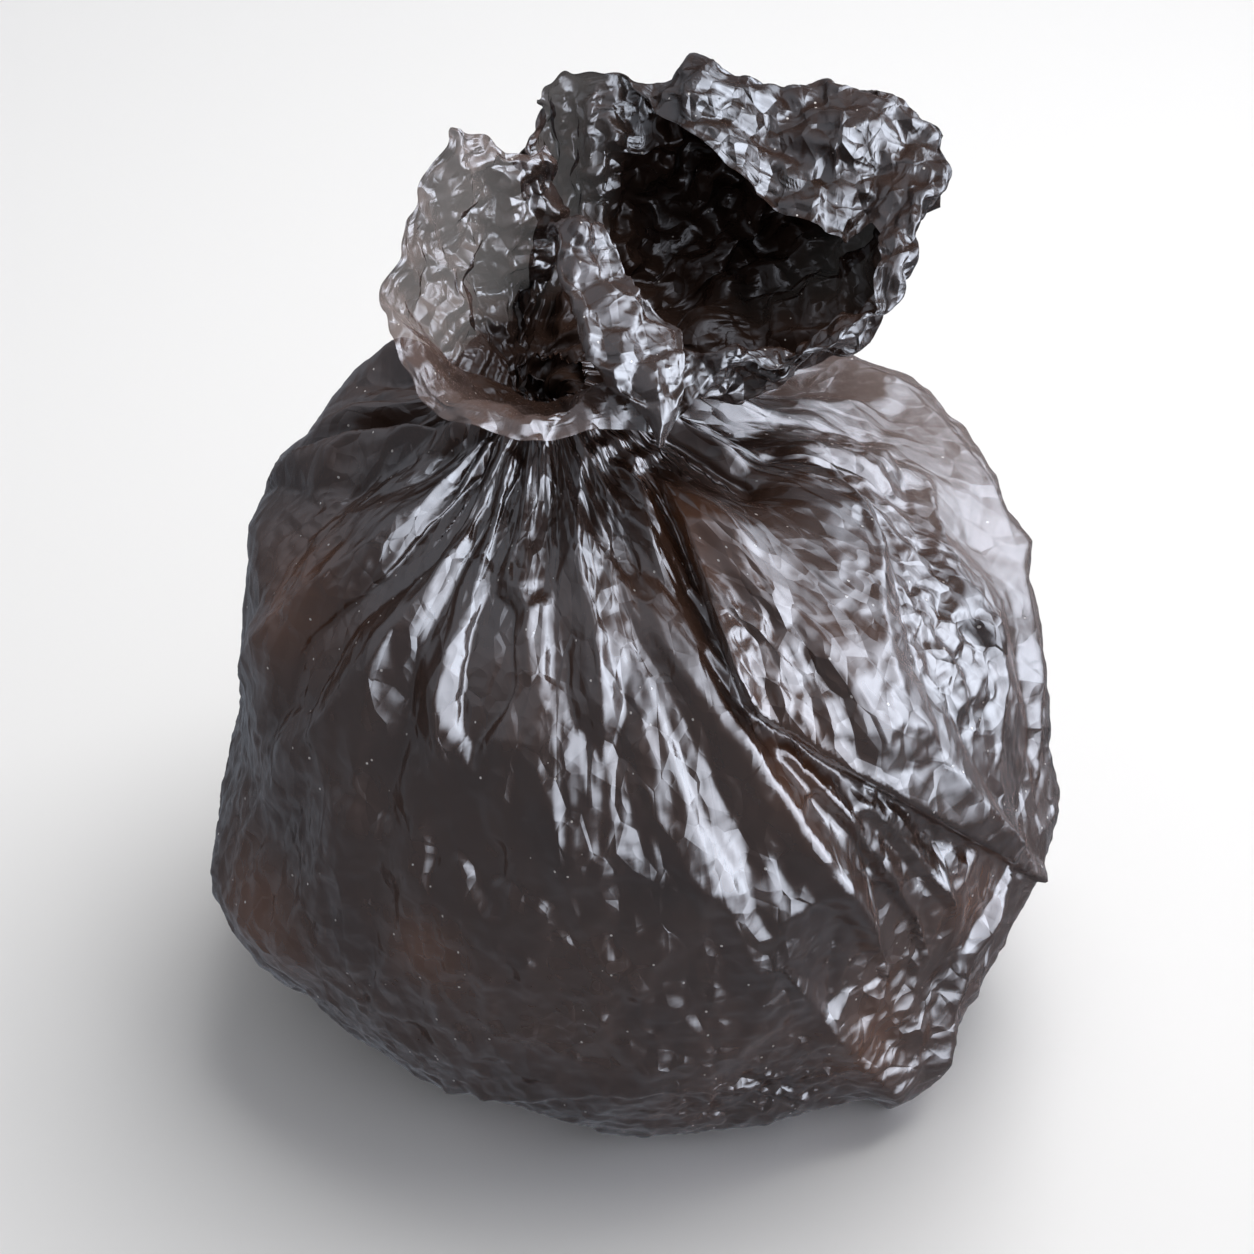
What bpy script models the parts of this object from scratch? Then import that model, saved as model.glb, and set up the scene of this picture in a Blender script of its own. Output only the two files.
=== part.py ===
"""A full bin bag, tied with a knot in its own film and standing on its base.

Metres, +Z up. The origin is on the floor, at the middle of the bag's bounding box.
The bag is one piece of film, so the model is one solid: the packed body, the knot and
the open mouth above the knot, whose wall is thick enough to be a solid.
"""

import math

import bmesh
import bpy
from mathutils import Vector

# Driving dimensions
BODY_WIDTH = 0.380
BODY_DEPTH = 0.340
BODY_HEIGHT = 0.322
BODY_MIDDLE = Vector((-0.0007, 0.0019, 0))
KNOT = Vector((-0.037, -0.010, 0.322))
KNOT_RADIUS = 0.021
NECK_RADIUS = 0.012
FILM_WALL = 0.0024

# Body mesh and its pleats
BODY_SEGMENTS = 72
BODY_RINGS = 26
PLEATS = 18
PLEAT_DEPTH = 0.0055
MOUTH_ROUNDING = 2
MERGE = 0.00001

# Upright outline of the packed body: share of the half width, share of the height
BODY_OUTLINE = [
    (0.00, 0.000),
    (0.30, 0.000),
    (0.57, 0.000),
    (0.78, 0.045),
    (0.92, 0.160),
    (0.99, 0.320),
    (0.99, 0.500),
    (0.93, 0.680),
    (0.79, 0.840),
    (0.56, 0.950),
    (0.30, 1.000),
    (0.09, 1.010),
]

# Bulges where the rubbish pushes the film out or leaves it slack:
# compass angle in degrees, share of the height, height of the bulge, reach in degrees, reach in height
BULGES = [
    (196, 0.20, 0.014, 26, 0.18),
    (176, 0.52, -0.007, 34, 0.22),
    (6, 0.45, 0.005, 24, 0.22),
    (-44, 0.06, 0.026, 15, 0.12),
    (-75, 0.03, 0.009, 24, 0.10),
    (-16, 0.24, 0.010, 16, 0.16),
    (-72, 0.62, 0.006, 24, 0.20),
    (38, 0.78, 0.026, 30, 0.20),
    (158, 0.86, 0.010, 26, 0.14),
    (100, 0.40, -0.004, 30, 0.25),
    (128, 0.22, 0.008, 28, 0.20),
]

# The mouth's rim, one line for each gather of the film: the crest and, from it, the film's edge.
# In millimetres, going round clockwise from the tip that hangs down in front.
RIM = [
    ((6, -52, 418), (10, -44, -40)),
    ((-20, -74, 396), (-3, -18, -12)),
    ((-44, -88, 390), (-2, -8, 2)),
    ((-74, -80, 400), (-5, -5, 4)),
    ((-98, -54, 410), (-5, -2, 5)),
    ((-102, -26, 416), (-3, 1, 8)),
    ((-88, 2, 430), (-2, 3, 8)),
    ((-70, 26, 444), (-2, 4, 10)),
    ((-46, 36, 430), (3, 3, 8)),
    ((-32, 50, 410), (-3, 4, 6)),
    ((-42, 78, 420), (-6, 6, 8)),
    ((-24, 90, 428), (0, 4, 6)),
    ((2, 78, 446), (2, -8, 6)),
    ((34, 78, 456), (4, -26, -6)),
    ((72, 76, 452), (-2, -38, -14)),
    ((114, 72, 448), (-14, -36, -18)),
    ((148, 50, 438), (-28, -24, -12)),
    ((142, 4, 416), (-16, -12, 2)),
    ((118, -30, 404), (-2, -6, 4)),
    ((78, -58, 388), (0, -6, 3)),
    ((42, -58, 392), (0, -6, 4)),
    ((24, -48, 410), (6, -18, -10)),
]
MM = 0.001


def clear_scene():
    for item in list(bpy.data.objects):
        bpy.data.objects.remove(item, do_unlink=True)


def new_collection(name):
    made = bpy.data.collections.new(name)
    bpy.context.scene.collection.children.link(made)
    return made


def film_material():
    """Thin black polythene with a brown cast, glossy."""
    made = bpy.data.materials.new("film")
    made.use_nodes = True
    shader = made.node_tree.nodes["Principled BSDF"]
    shader.inputs["Base Color"].default_value = (0.030, 0.024, 0.023, 1)
    shader.inputs["Roughness"].default_value = 0.28
    shader.inputs["Metallic"].default_value = 0.0
    return made


def outline_at(share):
    """The body's outline, share 0 at the middle of the base and 1 at the neck, as a smooth curve."""
    span = share * (len(BODY_OUTLINE) - 1)
    start = min(int(span), len(BODY_OUTLINE) - 2)
    t = span - start
    picked = [BODY_OUTLINE[min(max(start + k, 0), len(BODY_OUTLINE) - 1)] for k in (-1, 0, 1, 2)]
    p0, p1, p2, p3 = (Vector(p) for p in picked)
    curve = 2 * p1 + (p2 - p0) * t
    curve += (2 * p0 - 5 * p1 + 4 * p2 - p3) * t**2 + (3 * p1 - p0 - 3 * p2 + p3) * t**3
    return curve / 2


def turn_between(a, b):
    """The smaller angle between two compass angles, in degrees."""
    return abs((a - b + 180) % 360 - 180)


def bulge_at(angle, height):
    total = 0.0
    for at, level, size, reach, rise in BULGES:
        away = (turn_between(angle, at) / reach) ** 2 + ((height - level) / rise) ** 2
        total += size * math.exp(-away)
    return total


def pleat_at(angle, share):
    """Pleats run out from the neck, unevenly spaced, and die away towards the widest part of the bag."""
    strength = max(0.0, min(1.0, (share - 0.55) / 0.30)) * (1 - max(0.0, (share - 0.9) / 0.1) * 0.75)
    uneven = 1.1 * math.sin(2 * angle + 0.6) + 0.7 * math.sin(5 * angle)
    return PLEAT_DEPTH * strength * math.cos(PLEATS * angle + uneven)


def body_point(angle, share):
    """A point of the body's skin. angle is round the upright axis in radians, share is along the outline."""
    out, up = outline_at(share)
    radius = out + (bulge_at(math.degrees(angle), up) + pleat_at(angle, share)) / (BODY_WIDTH / 2) * min(1, out * 2)
    towards_knot = max(0.0, min(1.0, (share - 0.45) / 0.55)) ** 2
    x = radius * math.cos(angle) * BODY_WIDTH / 2 + KNOT.x * towards_knot
    y = radius * math.sin(angle) * BODY_DEPTH / 2 + KNOT.y * towards_knot
    z = max(0.0, up * BODY_HEIGHT)
    return BODY_MIDDLE + Vector((x, y, z))


def make_body(collection, material):
    """A sphere of quads, drawn out to the packed shape with a flat base."""
    sphere = bmesh.new()
    bmesh.ops.create_uvsphere(sphere, u_segments=BODY_SEGMENTS, v_segments=BODY_RINGS, radius=1)
    for vert in sphere.verts:
        share = 1 - math.acos(max(-1.0, min(1.0, vert.co.z))) / math.pi
        vert.co = body_point(math.atan2(vert.co.y, vert.co.x), share)
    mesh = bpy.data.meshes.new("bin_bag")
    sphere.to_mesh(mesh)
    sphere.free()
    mesh.materials.append(material)
    mesh.shade_smooth()
    body = bpy.data.objects.new("bin_bag", mesh)
    collection.objects.link(body)
    return body


def make_knot(collection, material):
    """The film's own knot: a squat ball on the neck."""
    ball = bmesh.new()
    bmesh.ops.create_uvsphere(ball, u_segments=24, v_segments=12, radius=KNOT_RADIUS)
    for vert in ball.verts:
        vert.co = KNOT + Vector((vert.co.x * 1.15, vert.co.y, vert.co.z * 0.95 + 0.004))
    mesh = bpy.data.meshes.new("knot_form")
    ball.to_mesh(mesh)
    ball.free()
    mesh.materials.append(material)
    knot = bpy.data.objects.new("knot_form", mesh)
    collection.objects.link(knot)
    return knot


def mouth_column(index):
    """The film's path at one gather: neck, throat, belly, crest and edge."""
    crest = Vector(RIM[index][0]) * MM
    edge = crest + Vector(RIM[index][1]) * MM
    turn = math.radians(-58 - 360 * index / len(RIM))
    round_neck = Vector((math.cos(turn), math.sin(turn), 0))
    neck = KNOT + round_neck * NECK_RADIUS
    throat = KNOT + round_neck * NECK_RADIUS * 1.5 + Vector((0, 0, KNOT_RADIUS * 1.35))
    away = Vector((crest.x - throat.x, crest.y - throat.y, 0))
    belly = throat.lerp(crest, 0.48) + away * 0.16 - Vector((0, 0, 0.004))
    return [neck, throat, belly, crest, edge]


def make_mouth(collection, material):
    """A coarse sheet, placed column by column and closed into a tube, then rounded and given its wall."""
    columns = [mouth_column(index) for index in range(len(RIM))]
    levels = len(columns[0])
    cage = bmesh.new()
    bmesh.ops.create_grid(cage, x_segments=len(RIM), y_segments=levels - 1, size=1)
    cage.verts.ensure_lookup_table()
    for number, vert in enumerate(cage.verts):
        level, index = divmod(number, len(RIM) + 1)
        vert.co = columns[index % len(RIM)][level]
    bmesh.ops.remove_doubles(cage, verts=cage.verts, dist=MERGE)
    bmesh.ops.recalc_face_normals(cage, faces=cage.faces)
    mesh = bpy.data.meshes.new("mouth_form")
    cage.to_mesh(mesh)
    cage.free()
    mesh.materials.append(material)
    mouth = bpy.data.objects.new("mouth_form", mesh)
    collection.objects.link(mouth)
    rounded = mouth.modifiers.new("rounded", "SUBSURF")
    rounded.levels = MOUTH_ROUNDING
    rounded.render_levels = MOUTH_ROUNDING
    wall = mouth.modifiers.new("wall", "SOLIDIFY")
    wall.thickness = FILM_WALL
    wall.offset = 0
    return mouth


def join_on(target, other):
    """Unites a helper form with the bag and hides the helper."""
    join = target.modifiers.new("join_" + other.name, "BOOLEAN")
    join.operation = "UNION"
    join.solver = "EXACT"
    join.object = other
    other.hide_render = True
    other.display_type = "WIRE"


def main():
    clear_scene()
    bag_parts = new_collection("bin_bag")
    helpers = new_collection("helpers")
    film = film_material()
    bag = make_body(bag_parts, film)
    join_on(bag, make_knot(helpers, film))
    join_on(bag, make_mouth(helpers, film))


main()
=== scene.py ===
import math

import bmesh
import bpy
import numpy as np
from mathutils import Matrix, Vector


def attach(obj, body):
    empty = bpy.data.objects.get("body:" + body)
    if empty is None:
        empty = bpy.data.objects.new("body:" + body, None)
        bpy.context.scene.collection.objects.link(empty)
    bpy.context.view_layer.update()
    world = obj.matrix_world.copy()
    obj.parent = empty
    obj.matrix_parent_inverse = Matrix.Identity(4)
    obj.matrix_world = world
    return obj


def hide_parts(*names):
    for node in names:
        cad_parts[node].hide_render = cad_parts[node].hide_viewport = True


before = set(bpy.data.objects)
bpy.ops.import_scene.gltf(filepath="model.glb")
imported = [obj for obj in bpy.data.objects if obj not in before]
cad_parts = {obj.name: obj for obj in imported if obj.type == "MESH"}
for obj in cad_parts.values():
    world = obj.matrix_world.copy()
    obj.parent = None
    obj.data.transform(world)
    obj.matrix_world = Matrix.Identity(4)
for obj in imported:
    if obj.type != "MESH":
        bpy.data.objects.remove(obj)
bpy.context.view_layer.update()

MM = 0.001
FLAT_PATCH = 1.5  # power of a patch with a flat middle

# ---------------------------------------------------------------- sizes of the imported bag
HALF_WIDTH = 0.188
HALF_DEPTH = 0.168
KNOT_HEIGHT = 0.322
KNOT = np.array((-0.037, -0.010, 0.322))

BODY_OUTLINE = np.array([
    (0.00, 0.000), (0.30, 0.000), (0.57, 0.000), (0.78, 0.045), (0.92, 0.160), (0.99, 0.320),
    (0.99, 0.500), (0.93, 0.680), (0.79, 0.840), (0.56, 0.945), (0.30, 1.020), (0.09, 1.090),
])

# compass angle, share of the height, size, reach in degrees, reach in height
BULGES = [
    (196, 0.20, 0.016, 24, 0.18), (176, 0.52, -0.007, 34, 0.22), (6, 0.45, 0.006, 24, 0.22),
    (-44, 0.06, 0.030, 13, 0.12), (-75, 0.03, 0.010, 24, 0.10), (-16, 0.24, 0.010, 16, 0.16),
    (-72, 0.62, 0.006, 24, 0.20), (38, 0.78, 0.026, 30, 0.20), (158, 0.86, 0.010, 26, 0.14),
    (100, 0.40, -0.004, 30, 0.25), (128, 0.22, 0.008, 28, 0.20), (-36, 0.88, 0.017, 14, 0.16),
]

# Places where the film stands clear of the rubbish: compass angle, share along the film, gap in
# millimetres, reach in degrees, reach in share
LOOSE = [
    (22, 0.72, 30, 34, 0.22), (-20, 0.47, 14, 14, 0.10), (176, 0.76, 12, 20, 0.10), (196, 0.50, 9, 16, 0.16),
    (-44, 0.24, 22, 14, 0.10), (-124, 0.66, 8, 7, 0.16), (-62, 0.78, 8, 8, 0.10), (60, 0.45, 14, 26, 0.14),
    (120, 0.70, 16, 30, 0.14), (150, 0.40, 12, 24, 0.12),
]

# Main folds of the body film that overhang or stand alone: [(compass angle, share along the film),
# ...], height, width on the left, width on the right, lean to the left; millimetres
FOLDS = [
    ([(-142, 0.96), (-165, 0.89), (-177, 0.82), (-185, 0.74)], 10, 8, 16, 4),
    ([(-63, 0.94), (-76, 0.82), (-72, 0.71), (-63, 0.59), (-52, 0.46)], 9, 9, 24, -3),
    ([(-51, 0.92), (-67, 0.75), (-60, 0.69), (-47, 0.62), (-19, 0.45)], 18, 6, 66, 8),
    ([(-8, 0.86), (-24, 0.81), (-38, 0.77), (-44, 0.72), (-43, 0.67), (-38, 0.60), (-24, 0.49)], 15, 46, 16, 0),
    ([(6, 0.76), (-17, 0.72), (-22, 0.67), (-30, 0.60)], 7, 14, 8, 0),
    ([(-66, 0.69), (-60, 0.64), (-51, 0.54), (-45, 0.46)], 6, 4, 9, 0),
    ([(-57, 0.64), (-48, 0.57), (-41, 0.50)], 6, 4, 9, 0),
    ([(-44, 0.22), (-42, 0.32), (-38, 0.42), (-26, 0.49)], 7, 16, 10, 0),
    ([(-44, 0.22), (-50, 0.32), (-60, 0.42), (-70, 0.52)], 6, 14, 12, 0),
    ([(48, 0.84), (26, 0.76), (4, 0.67), (-14, 0.52)], 7, 20, 20, 0),
    ([(4, 0.67), (22, 0.60), (40, 0.50)], 6, 16, 16, 0),
    ([(-125, 0.31), (-110, 0.35), (-94, 0.39), (-80, 0.39), (-67, 0.34), (-55, 0.28)], 3, 5, 9, 0),
]

# Pleats from the knot, as crests and valleys with flat film between them: how strong, and the line
CRESTS = [
    (1.1, [(-148, 0.97), (-160, 0.91), (-173, 0.83), (-182, 0.76)]),
    (1.2, [(-135, 0.94), (-141, 0.86), (-148, 0.77), (-157, 0.69), (-168, 0.60)]),
    (1.3, [(-125, 0.94), (-126, 0.84), (-132, 0.75), (-139, 0.66), (-158, 0.50)]),
    (1.0, [(-137, 0.98), (-124, 0.91), (-123, 0.87), (-121, 0.81), (-119, 0.74), (-119, 0.70), (-115, 0.65)]),
    (0.9, [(-106, 0.99), (-110, 0.89), (-111, 0.83), (-106, 0.79)]),
    (0.8, [(-73, 0.98), (-91, 0.88), (-91, 0.81), (-91, 0.74), (-92, 0.67)]),
    (1.0, [(-71, 0.95), (-85, 0.83), (-85, 0.78), (-83, 0.75), (-82, 0.71), (-80, 0.65), (-77, 0.58), (-71, 0.48)]),
    (1.0, [(-71, 0.92), (-82, 0.84), (-81, 0.79), (-77, 0.75), (-73, 0.70), (-69, 0.64), (-62, 0.56)]),
    (0.7, [(-77, 0.90), (-78, 0.83), (-75, 0.80), (-72, 0.76), (-68, 0.72), (-65, 0.70)]),
    (0.9, [(-70, 0.95), (-76, 0.89), (-72, 0.85), (-71, 0.79), (-68, 0.75)]),
    (0.9, [(-61, 0.93), (-67, 0.87), (-67, 0.82), (-67, 0.77), (-67, 0.75)]),
    (1.5, [(-15, 0.95), (10, 0.90), (14, 0.85), (25, 0.78)]),
    (1.5, [(-20, 0.94), (-11, 0.88), (-4, 0.83), (2, 0.77)]),
    (0.7, [(-69, 0.65), (-66, 0.61), (-61, 0.56), (-54, 0.48)]),
]
VALLEYS = [
    (1.1, [(-138, 0.96), (-157, 0.88), (-170, 0.79)]),
    (1.2, [(-129, 0.94), (-133, 0.83), (-138, 0.76), (-145, 0.68), (-156, 0.59)]),
    (1.0, [(-123, 0.92), (-123, 0.83), (-124, 0.75), (-125, 0.67), (-127, 0.60), (-128, 0.51), (-133, 0.37)]),
    (1.0, [(-117, 1.01), (-117, 0.93), (-113, 0.82), (-112, 0.76), (-113, 0.71), (-112, 0.66)]),
    (0.8, [(-88, 0.99), (-100, 0.89), (-103, 0.83), (-105, 0.79)]),
    (0.7, [(-85, 0.98), (-98, 0.89), (-99, 0.81), (-98, 0.75), (-94, 0.69)]),
    (1.0, [(-70, 0.94), (-82, 0.84), (-83, 0.77), (-81, 0.71), (-79, 0.66), (-75, 0.60), (-69, 0.52)]),
    (0.8, [(-74, 0.90), (-76, 0.85), (-76, 0.78), (-73, 0.73), (-68, 0.68)]),
    (0.8, [(-65, 0.94), (-72, 0.88), (-70, 0.83), (-69, 0.78), (-68, 0.74)]),
    (1.0, [(-56, 0.92), (-63, 0.85), (-64, 0.79), (-64, 0.75)]),
    (1.3, [(-14, 0.94), (-1, 0.90), (6, 0.83), (10, 0.79)]),
    (1.3, [(-36, 0.93), (-28, 0.88), (-19, 0.84), (-9, 0.79)]),
    (0.7, [(-64, 0.65), (-59, 0.60), (-51, 0.52), (-44, 0.45)]),
]


# ---------------------------------------------------------------- numbers that vary smoothly
def smooth_step(x, low, high):
    t = np.clip((x - low) / (high - low), 0, 1)
    return t * t * (3 - 2 * t)


def whole_turn(columns):
    """One angle for each column of a tube, in radians."""
    return np.arange(columns) * 2 * np.pi / columns


def soft_noise(rows, columns, cells_up, cells_round, seed):
    """Values from -1 to 1 that vary smoothly over a tube: it closes round the columns."""
    picks = np.random.default_rng(seed).uniform(-1, 1, (cells_up + 2, cells_round))
    up = np.linspace(0, cells_up, rows, endpoint=False)
    round_ = np.arange(columns) * cells_round / columns
    i, j = up.astype(int), round_.astype(int)
    a, b = up - i, round_ - j
    a, b = a * a * (3 - 2 * a), b * b * (3 - 2 * b)
    a, b = a[:, None], b[None, :]
    j1 = (j + 1) % cells_round
    low = picks[np.ix_(i, j)] * (1 - b) + picks[np.ix_(i, j1)] * b
    high = picks[np.ix_(i + 1, j)] * (1 - b) + picks[np.ix_(i + 1, j1)] * b
    return low * (1 - a) + high * a


def nearest_spot(x, y, around, up, seed):
    """Squared distance to the nearest of many scattered spots, one in each cell of a tube."""
    spots = np.random.default_rng(seed).uniform(-0.42, 0.42, (up + 7, around, 2))
    j, i = np.floor(x).astype(int), np.floor(y).astype(int)
    least = np.full(x.shape, 9.0)
    for down in (-2, -1, 0, 1, 2):
        row = np.clip(i + down, -3, up + 3) + 3
        for over in (-2, -1, 0, 1, 2):
            spot = spots[row, (j + over) % around]
            across = x - j - over - 0.5 - spot[..., 0]
            along = y - i - down - 0.5 - spot[..., 1]
            least = np.minimum(least, across**2 + along**2)
    return least


def facets(angle, share, around, up, seed):
    """Heights of flat facets that meet in sharp creases; the slope is about one in one cell."""
    x, y = angle * around / (2 * np.pi), share * up
    return nearest_spot(x, y, around, up, seed) - nearest_spot(x, y, around, up, seed + 1)


def facets_in_space(points, cell, seed):
    """The same as facets, but by place in space; cell is in metres."""
    scaled = points / cell
    whole = np.floor(scaled).astype(int)
    part = scaled - whole
    low = whole.min(axis=(0, 1)) - 1
    size = whole.max(axis=(0, 1)) - low + 2
    pair = []
    for more in (0, 1):
        spots = np.random.default_rng(seed + more).uniform(0.05, 0.95, (*size, 3))
        least = np.full(points.shape[:2], 9.0)
        for step in np.ndindex(3, 3, 3):
            at = whole + step - 1 - low
            away = spots[at[..., 0], at[..., 1], at[..., 2]] + step - 1 - part
            least = np.minimum(least, np.einsum("...k,...k", away, away))
        pair.append(least)
    return pair[0] - pair[1]


def cubic(p0, p1, p2, p3, t):
    """A smooth value at t between p1 and p2, from the four values around it."""
    return 0.5 * (2 * p1 + (p2 - p0) * t + (2 * p0 - 5 * p1 + 4 * p2 - p3) * t**2
                  + (3 * p1 - p0 - 3 * p2 + p3) * t**3)


def spline(points, at):
    """A smooth curve through the points; at runs from 0 to the number of points less one."""
    points = np.asarray(points, float)
    last = len(points) - 1
    start = np.clip(np.floor(at).astype(int), 0, last - 1)
    t = (at - start)[..., None]
    return cubic(*(points[np.clip(start + k, 0, last)] for k in (-1, 0, 1, 2)), t)


def patch(degrees, level, place, reach, power=1.0):
    """A soft-edged patch of the bag, 1 at its middle. place is its compass angle and level, and reach is
    its size both ways; a higher power gives it a flatter middle."""
    turn = np.abs((degrees - place[0] + 180) % 360 - 180)
    return np.exp(-((turn / reach[0]) ** 2 + ((level - place[1]) / reach[1]) ** 2) ** power)


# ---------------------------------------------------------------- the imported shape
def packed_shape(angle, share):
    """The rubbish's own smooth outline. angle in radians and share may be arrays of one shape."""
    outline = spline(BODY_OUTLINE, share * (len(BODY_OUTLINE) - 1))
    out, height = outline[..., 0], outline[..., 1]
    degrees = np.degrees(angle)
    bulge = np.zeros_like(out)
    for turn, level, size, *reach in BULGES:
        bulge += size * patch(degrees, height, (turn, level), reach)
    radius = out + bulge / HALF_WIDTH * np.minimum(1, out * 2)
    lean = np.clip((share - 0.45) / 0.55, 0, 1) ** 2
    x = radius * np.cos(angle) * HALF_WIDTH + KNOT[0] * lean
    y = radius * np.sin(angle) * HALF_DEPTH + KNOT[1] * lean
    return np.stack((x, y, np.maximum(0, height * KNOT_HEIGHT)), axis=-1)


def loose_gap(angle, share):
    """How far the rubbish lies behind the film, in metres."""
    degrees = np.degrees(angle)
    gap = np.full(np.shape(angle), 0.003)
    for turn, level, size, *reach in LOOSE:
        gap = gap + size * MM * patch(degrees, share, (turn, level), reach, FLAT_PATCH)
    return gap


def tube_normals(points):
    """Outward normals of a tube of rows of points, closed round the columns."""
    across = np.roll(points, -1, axis=1) - np.roll(points, 1, axis=1)
    along = np.gradient(points, axis=0)
    normal = np.cross(across, along)
    return normal / (np.linalg.norm(normal, axis=-1, keepdims=True) + 1e-12)


# ---------------------------------------------------------------- the film's behaviour
SHEAR = 0.6  # how firmly the film holds its diagonals
DRAG = 0.85  # share of its speed that the film keeps at each step
TIGHTEST = 0.60  # the least distance across a crease, as a share of the flat distance


def pull(a, b, rest, firmness):
    """Moves two sets of points towards their rest distance."""
    gap = b - a
    length = np.sqrt(np.einsum("...k,...k", gap, gap)) + 1e-9
    gap *= ((0.5 * firmness) * (1 - rest / length))[..., None]
    a += gap
    b -= gap


def keep_apart(a, b, least, stiffness, rest):
    """Stops a crease from closing tighter than the film can, and flattens gentle curves."""
    gap = b - a
    length = np.sqrt(np.einsum("...k,...k", gap, gap)) + 1e-9
    straight = length / rest
    soft = stiffness * np.clip((straight - 0.88) / 0.10, 0.03, 1)
    push = np.where(straight < least, 0.5 * (1 - least / straight), 0)
    push = np.minimum(push, soft * (1 - 1 / straight))
    gap *= push[..., None]
    a += gap
    b -= gap


def spread(values, rows, columns):
    """Running mean over a tube, so that only its broad shape is left."""
    tall = np.concatenate((np.repeat(values[:1], rows, axis=0), values, np.repeat(values[-1:], rows, axis=0)))
    total = np.cumsum(tall, axis=0, dtype=np.float32)
    mean = (total[2 * rows:] - total[:-2 * rows]) / (2 * rows)
    wide = np.concatenate((mean[:, -columns:], mean, mean[:, :columns]), axis=1)
    total = np.cumsum(wide, axis=1, dtype=np.float32)
    return (total[:, 2 * columns:] - total[:, :-2 * columns]) / (2 * columns)


class Film:
    """A tube of thin film as rows of points, which neither stretches nor shrinks but buckles."""

    def __init__(self, points, slack_round, slack_up):
        self.points = np.ascontiguousarray(points, dtype=np.float32)
        p = self.points
        right = np.roll(p, -1, axis=1)
        self.round = np.linalg.norm(right - p, axis=2) * (1 + slack_round)
        self.up = np.linalg.norm(p[1:] - p[:-1], axis=2) * (1 + slack_up[1:])
        both = np.sqrt((1 + slack_round[1:]) * (1 + slack_up[1:]))
        self.lean_right = np.linalg.norm(right[1:] - p[:-1], axis=2) * both
        self.lean_left = np.linalg.norm(np.roll(p, 1, axis=1)[1:] - p[:-1], axis=2) * both
        self.two_round = self.round + np.roll(self.round, -1, axis=1)
        self.two_up = self.up[1:] + self.up[:-1]
        self.two_right = self.lean_right[:-1] + np.roll(self.lean_right, -1, axis=1)[1:]
        self.two_left = self.lean_left[:-1] + np.roll(self.lean_left, 1, axis=1)[1:]
        for name in ("round", "up", "lean_right", "lean_left", "two_round", "two_up", "two_right", "two_left"):
            setattr(self, name, getattr(self, name).astype(np.float32))

    def hold_lengths(self):
        p, r, shear = self.points, self.round, SHEAR
        pull(p[:, 0::2], p[:, 1::2], r[:, 0::2], 1.0)
        pull(p[:, 1:-1:2], p[:, 2::2], r[:, 1:-1:2], 1.0)
        pull(p[:, -1], p[:, 0], r[:, -1], 1.0)
        for start in (0, 1):
            low, high = p[start:-1:2], p[start + 1::2]
            pull(low, high, self.up[start::2], 1.0)
            d = self.lean_right[start::2]
            pull(low[:, :-1], high[:, 1:], d[:, :-1], shear)
            pull(low[:, -1], high[:, 0], d[:, -1], shear)
            d = self.lean_left[start::2]
            pull(low[:, 1:], high[:, :-1], d[:, 1:], shear)
            pull(low[:, 0], high[:, -1], d[:, 0], shear)

    def resist_bending(self, least, stiffness):
        p, r = self.points, self.two_round
        for start in (0, 1):
            keep_apart(p[:, start::4], p[:, start + 2::4], least, stiffness, r[:, start::4])
            end = -1 if start else -2
            keep_apart(p[:, start + 2:end:4], p[:, start + 4::4], least, stiffness, r[:, start + 2:end:4])
            keep_apart(p[:, end], p[:, start], least, stiffness, r[:, end])
        for start in (0, 1, 2, 3):
            low, high = p[start:-2:4], p[start + 2::4]
            n = min(len(low), len(high))
            low, high = low[:n], high[:n]
            keep_apart(low, high, least, stiffness, self.two_up[start::4][:n])
            rest = self.two_right[start::4][:n]
            keep_apart(low[:, :-2], high[:, 2:], least, stiffness, rest[:, :-2])
            keep_apart(low[:, -2:], high[:, :2], least, stiffness, rest[:, -2:])
            rest = self.two_left[start::4][:n]
            keep_apart(low[:, 2:], high[:, :-2], least, stiffness, rest[:, 2:])
            keep_apart(low[:, :2], high[:, -2:], least, stiffness, rest[:, :2])

    def settle(self, steps, guide, hold, broad_hold, reach, core, core_normal, stiffness, fixed):
        """hold keeps each point near the guide; broad_hold keeps only the broad shape near it. The film
        stays outside the core and above the floor."""
        p = self.points
        before = p.copy()
        guide = guide.astype(np.float32)
        core = core.astype(np.float32)
        core_normal = core_normal.astype(np.float32)
        for step in range(steps):
            move = (p - before) * DRAG
            before[:] = p
            p += move
            self.hold_lengths()
            self.resist_bending(TIGHTEST, stiffness)
            back = guide - p
            p += back * hold
            if step % 4 == 0:
                p += spread(back, *reach) * broad_hold
            depth = np.einsum("...k,...k", core - p, core_normal)
            p += core_normal * np.maximum(depth, 0)[..., None]
            np.maximum(p[..., 2], 0, out=p[..., 2])
            p[fixed] = guide[fixed]


def finer(values, rows, columns):
    """Resamples a tube's values to more rows and columns."""
    old_rows, old_columns = values.shape[:2]
    up = np.linspace(0, old_rows - 1, rows)
    i = np.minimum(up.astype(int), old_rows - 2)
    a = (up - i).reshape((-1,) + (1,) * (values.ndim - 1))
    tall = values[i] * (1 - a) + values[i + 1] * a
    round_ = np.arange(columns) * old_columns / columns
    j = round_.astype(int)
    b = (round_ - j).reshape((1, -1) + (1,) * (values.ndim - 2))
    return cubic(*(tall[:, (j + k) % old_columns] for k in (-1, 0, 1, 2)), b)


# ---------------------------------------------------------------- the body film before it settles
def triangle_wave(phase):
    return np.arcsin(0.985 * np.sin(2 * np.pi * phase)) / (np.pi / 2)


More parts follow.
